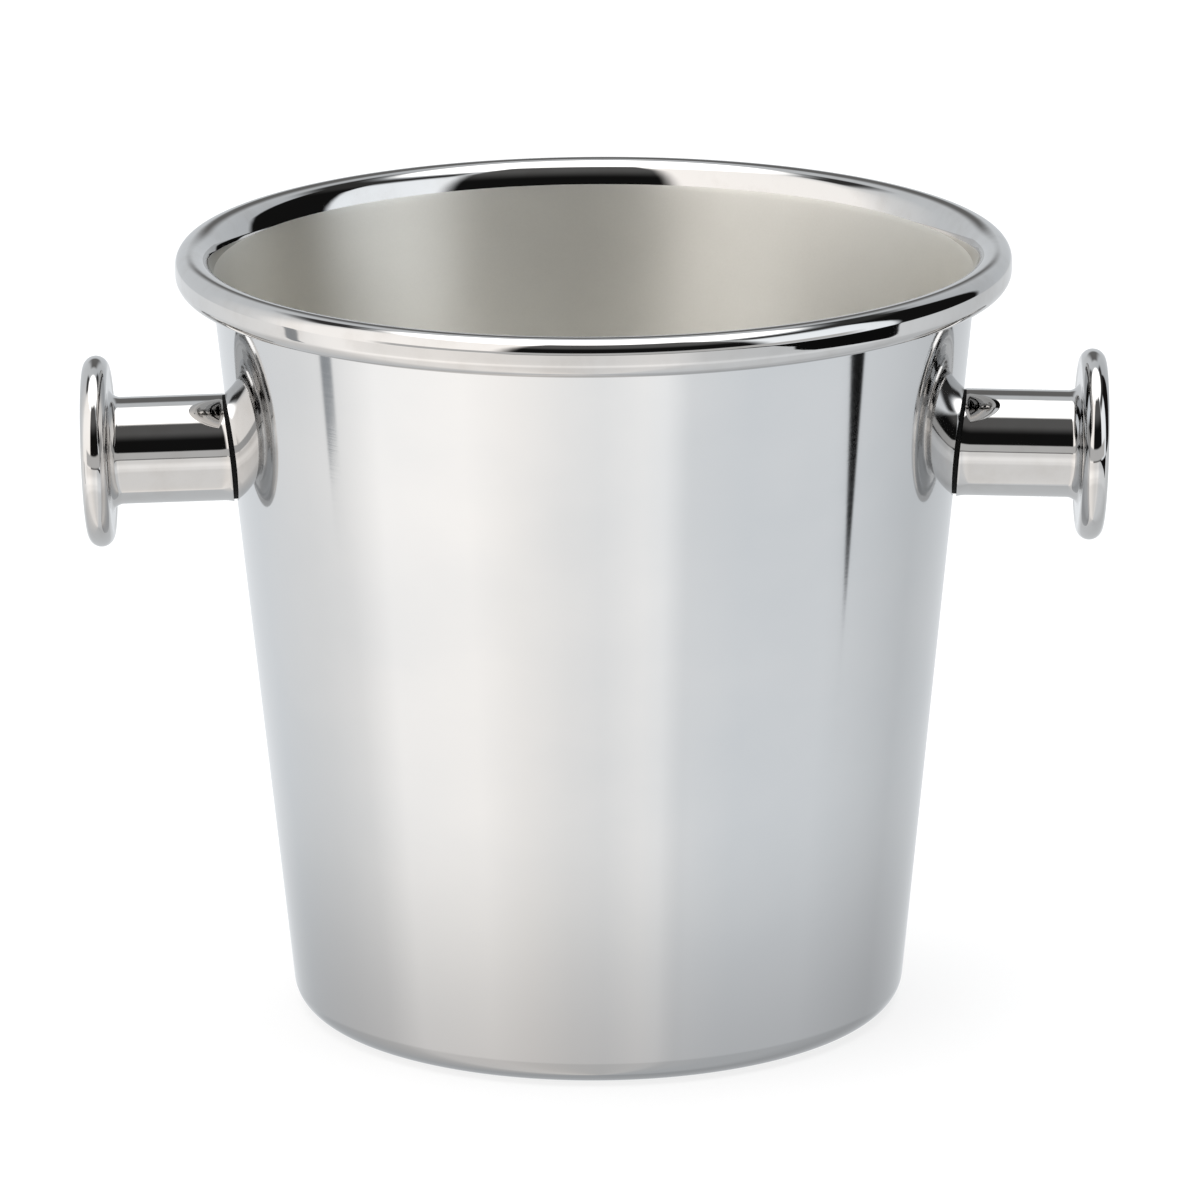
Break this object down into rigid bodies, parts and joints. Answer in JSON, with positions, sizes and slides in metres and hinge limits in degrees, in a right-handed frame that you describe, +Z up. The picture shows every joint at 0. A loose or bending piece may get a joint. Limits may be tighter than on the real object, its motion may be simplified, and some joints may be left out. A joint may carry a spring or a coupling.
{
  "type": "champagne bucket",
  "caption": "Tapered round ice bucket of polished sheet steel with a rolled rim bead, a satin inside and a fixed spool-shaped handle on each side.",
  "frame": {"origin": "bottom centre of the bucket, on the surface it stands on", "axes": "+Z up along the bucket's axis; +X along the handles' common axis, towards the right handle; +Y from the front to the back"},
  "size_m": [0.2522, 0.205, 0.1925],
  "materials": {
    "polished_steel": "mirror-polished outside, satin inside",
    "fastener_steel": "satin",
    "rubber_seal": "matt"
  },
  "bodies": {
    "root": {"bucket_body": "polished_steel", "root_collar_left": "polished_steel", "root_collar_right": "polished_steel", "grip_sleeve_left": "polished_steel", "grip_sleeve_right": "polished_steel", "end_disc_left": "polished_steel", "end_disc_right": "polished_steel", "handle_bolt_left": "fastener_steel", "handle_bolt_right": "fastener_steel", "bolt_washer_left": "fastener_steel", "bolt_washer_right": "fastener_steel", "wall_seal_left": "rubber_seal", "wall_seal_right": "rubber_seal"}
  },
  "joints": []
}
